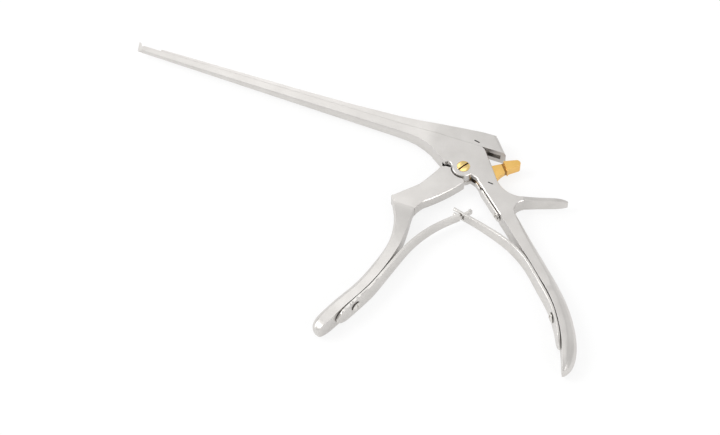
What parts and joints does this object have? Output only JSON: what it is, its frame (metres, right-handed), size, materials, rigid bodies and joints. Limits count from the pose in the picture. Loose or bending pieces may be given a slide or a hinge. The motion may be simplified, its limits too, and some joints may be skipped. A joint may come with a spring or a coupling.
{
  "type": "bone rongeur",
  "caption": "Steel surgical bone punch: squeezing the curved handles slides the long upper shaft forward onto an angled foot plate, and crossed leaf springs push the handles apart again.",
  "frame": {"origin": "on the pivot screw's axis, at the outer face of the lower cheek", "axes": "+X along the shaft, away from the jaw; +Y from the handles to the sliding upper shaft; +Z out of the side that shows the pivot screw's head"},
  "size_m": [0.268, 0.1375, 0.0114],
  "materials": {
    "satin_steel": "satin",
    "spring_steel": "satin",
    "gold_tone_metal": "satin"
  },
  "bodies": {
    "frame": {"frame": "satin_steel", "pivot_screw": "gold_tone_metal", "release_lever_pin": "satin_steel", "release_spring_screw": "satin_steel", "rear_leaf_screw": "satin_steel"},
    "upper_shaft": {"upper_shaft": "satin_steel"},
    "front_handle": {"front_handle": "satin_steel", "drive_pin": "satin_steel", "front_leaf_screw": "satin_steel"},
    "release_lever": {"release_lever": "gold_tone_metal"},
    "release_spring": {"release_spring": "spring_steel"},
    "front_leaf_spring": {"front_leaf_spring": "spring_steel"},
    "rear_leaf_spring": {"rear_leaf_spring": "spring_steel"}
  },
  "joints": [
    {"name": "handle_squeeze", "type": "hinge", "parent": "frame", "child": "front_handle", "pos_m": [0, 0, 0.0044], "axis": [0, 0, 1], "range_deg": [0, 35], "stiffness_Nm_per_rad": 1.2, "springref_deg": -22.92},
    {"name": "slider_travel", "type": "slide", "parent": "frame", "child": "upper_shaft", "axis": [-1, 0, 0], "range_m": [0, 0.0105]},
    {"name": "front_spring_bend", "type": "hinge", "parent": "front_handle", "child": "front_leaf_spring", "pos_m": [-0.0133, -0.064, 0.0044], "axis": [0, 0, 1], "range_deg": [0, 12], "deforming": ["front_leaf_spring"]},
    {"name": "rear_spring_bend", "type": "hinge", "parent": "frame", "child": "rear_leaf_spring", "pos_m": [0.0488, -0.0423, 0.0044], "axis": [0, 0, 1], "range_deg": [-12.5, 0], "deforming": ["rear_leaf_spring"]},
    {"name": "release_press", "type": "hinge", "parent": "frame", "child": "release_lever", "pos_m": [0.0092, -0.0008, 0.0044], "axis": [0, 0, 1], "range_deg": [-15, 0], "stiffness_Nm_per_rad": 0.15, "springref_deg": 5.73},
    {"name": "release_spring_bend", "type": "hinge", "parent": "frame", "child": "release_spring", "pos_m": [0.0222, -0.0163, 0.0044], "axis": [0, 0, 1], "range_deg": [0, 3.6], "deforming": ["release_spring"]}
  ],
  "couplings": [
    {"joint": "slider_travel", "follows": "handle_squeeze", "m_per_rad": 0.01702},
    {"joint": "front_spring_bend", "follows": "handle_squeeze", "ratio": 0.33},
    {"joint": "rear_spring_bend", "follows": "handle_squeeze", "ratio": -0.35},
    {"joint": "release_spring_bend", "follows": "release_press", "ratio": -0.23}
  ]
}
